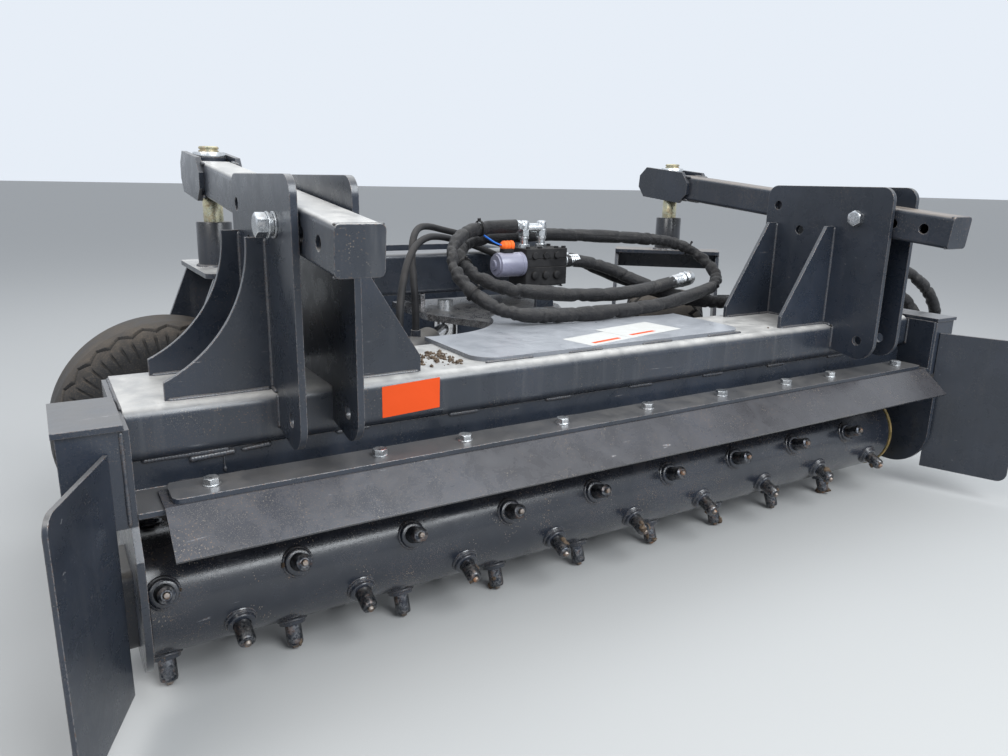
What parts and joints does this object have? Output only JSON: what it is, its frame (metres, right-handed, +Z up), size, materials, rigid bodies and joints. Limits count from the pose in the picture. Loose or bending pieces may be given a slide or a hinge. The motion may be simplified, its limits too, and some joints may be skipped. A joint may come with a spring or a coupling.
{
  "type": "power rake",
  "caption": "Loader-mounted power rake: a studded roller under a box beam with flared wings, swinging carrier and two caster wheels on arms.",
  "frame": {"origin": "on the floor, below the centre of the machine's box", "axes": "+X to the right across the machine as seen from the roller side, +Y from the roller to the coupler plate, +Z up"},
  "size_m": [2.2239, 1.5038, 0.8059],
  "materials": {
    "paint": "satin charcoal paint",
    "dark_paint": "black paint",
    "zinc": "zinc plated",
    "yellow_zinc": "yellow zinc plated",
    "bare": "worn to bare steel",
    "ring": "dull brass",
    "belt": "worn belt",
    "tyre": "dusty rubber",
    "rim": "silver paint",
    "lilac": "lilac grey coating",
    "sleeve": "woven nylon sleeve",
    "hose": "satin rubber",
    "plug": "orange plastic"
  },
  "bodies": {
    "root": {"beam": "paint", "apron": "paint", "flap": "belt", "clamp_strip": "paint", "bearing": "dark_paint", "motor": "dark_paint", "cover_plate": "paint", "lower_plate": "paint", "kingpin": "zinc", "cylinder_lug": "paint", "block_bracket": "paint", "valve_block": "dark_paint", "solenoid": "lilac", "plug": "plug", "fittings": "zinc", "hose_motor_front": "sleeve", "hose_motor_back": "sleeve", "hose_feed": "sleeve", "hose_cylinder_base": "hose", "hose_cylinder_rod": "hose", "side_plate_left": "paint", "end_box_left": "paint", "wing_left": "paint", "ears_left": "paint", "gussets_left": "paint", "pivot_bolt_left": "zinc", "side_plate_right": "paint", "end_box_right": "paint", "wing_right": "paint", "ears_right": "paint", "gussets_right": "paint", "pivot_bolt_right": "zinc"},
    "roller": {"drum": "paint", "end_ring": "ring"},
    "carrier": {"swivel_plate": "bare", "cross_beam": "paint", "rails": "paint", "coupler_plate": "paint", "cylinder_pin": "zinc"},
    "barrel": {"barrel": "dark_paint"},
    "rod": {"rod": "bare"},
    "arm_left": {"arm_left": "paint", "clevis_left": "paint"},
    "caster_left": {"spindle_left": "yellow_zinc", "fork_left": "paint", "axle_bolt_left": "zinc"},
    "wheel_left": {"tyre_left": "tyre", "rim_left": "rim"},
    "arm_right": {"arm_right": "paint", "clevis_right": "paint"},
    "caster_right": {"spindle_right": "yellow_zinc", "fork_right": "paint", "axle_bolt_right": "zinc"},
    "wheel_right": {"tyre_right": "tyre", "rim_right": "rim"}
  },
  "joints": [
    {"name": "yaw", "type": "hinge", "parent": "root", "child": "carrier", "pos_m": [0, -0.16114, 0.42], "axis": [0, 0, 1], "range_deg": [-20, 20]},
    {"name": "roller_spin", "type": "hinge", "parent": "root", "child": "roller", "pos_m": [0, -0.43714, 0.13541], "axis": [1, 0, 0], "continuous": true},
    {"name": "barrel_swing", "type": "hinge", "parent": "root", "child": "barrel", "pos_m": [-0.4, -0.24114, 0.386], "axis": [0, 0, 1], "range_deg": [-12, 12]},
    {"name": "rod_slide", "type": "slide", "parent": "barrel", "child": "rod", "axis": [0.6494, 0.7605, 0], "range_m": [-0.1, 0.1]},
    {"name": "arm_left", "type": "hinge", "parent": "root", "child": "arm_left", "pos_m": [-0.643, -0.53214, 0.684], "axis": [1, 0, 0], "range_deg": [-6.5, 0]},
    {"name": "caster_swivel_left", "type": "hinge", "parent": "arm_left", "child": "caster_left", "pos_m": [-0.643, 0.11686, 0.6], "axis": [0, 0, 1], "continuous": true},
    {"name": "wheel_spin_left", "type": "hinge", "parent": "caster_left", "child": "wheel_left", "pos_m": [-0.761, 0.11686, 0.2285], "axis": [0, -1, 0], "continuous": true},
    {"name": "arm_right", "type": "hinge", "parent": "root", "child": "arm_right", "pos_m": [0.643, -0.53214, 0.684], "axis": [1, 0, 0], "range_deg": [-6.5, 0]},
    {"name": "caster_swivel_right", "type": "hinge", "parent": "arm_right", "child": "caster_right", "pos_m": [0.643, 0.11686, 0.6], "axis": [0, 0, 1], "continuous": true},
    {"name": "wheel_spin_right", "type": "hinge", "parent": "caster_right", "child": "wheel_right", "pos_m": [0.56497, 0.02834, 0.2285], "axis": [0.7501, -0.6613, 0], "continuous": true}
  ],
  "couplings": [
    {"joint": "barrel_swing", "follows": "yaw", "ratio": 0.29198},
    {"joint": "rod_slide", "follows": "yaw", "m_per_rad": -0.25033}
  ]
}
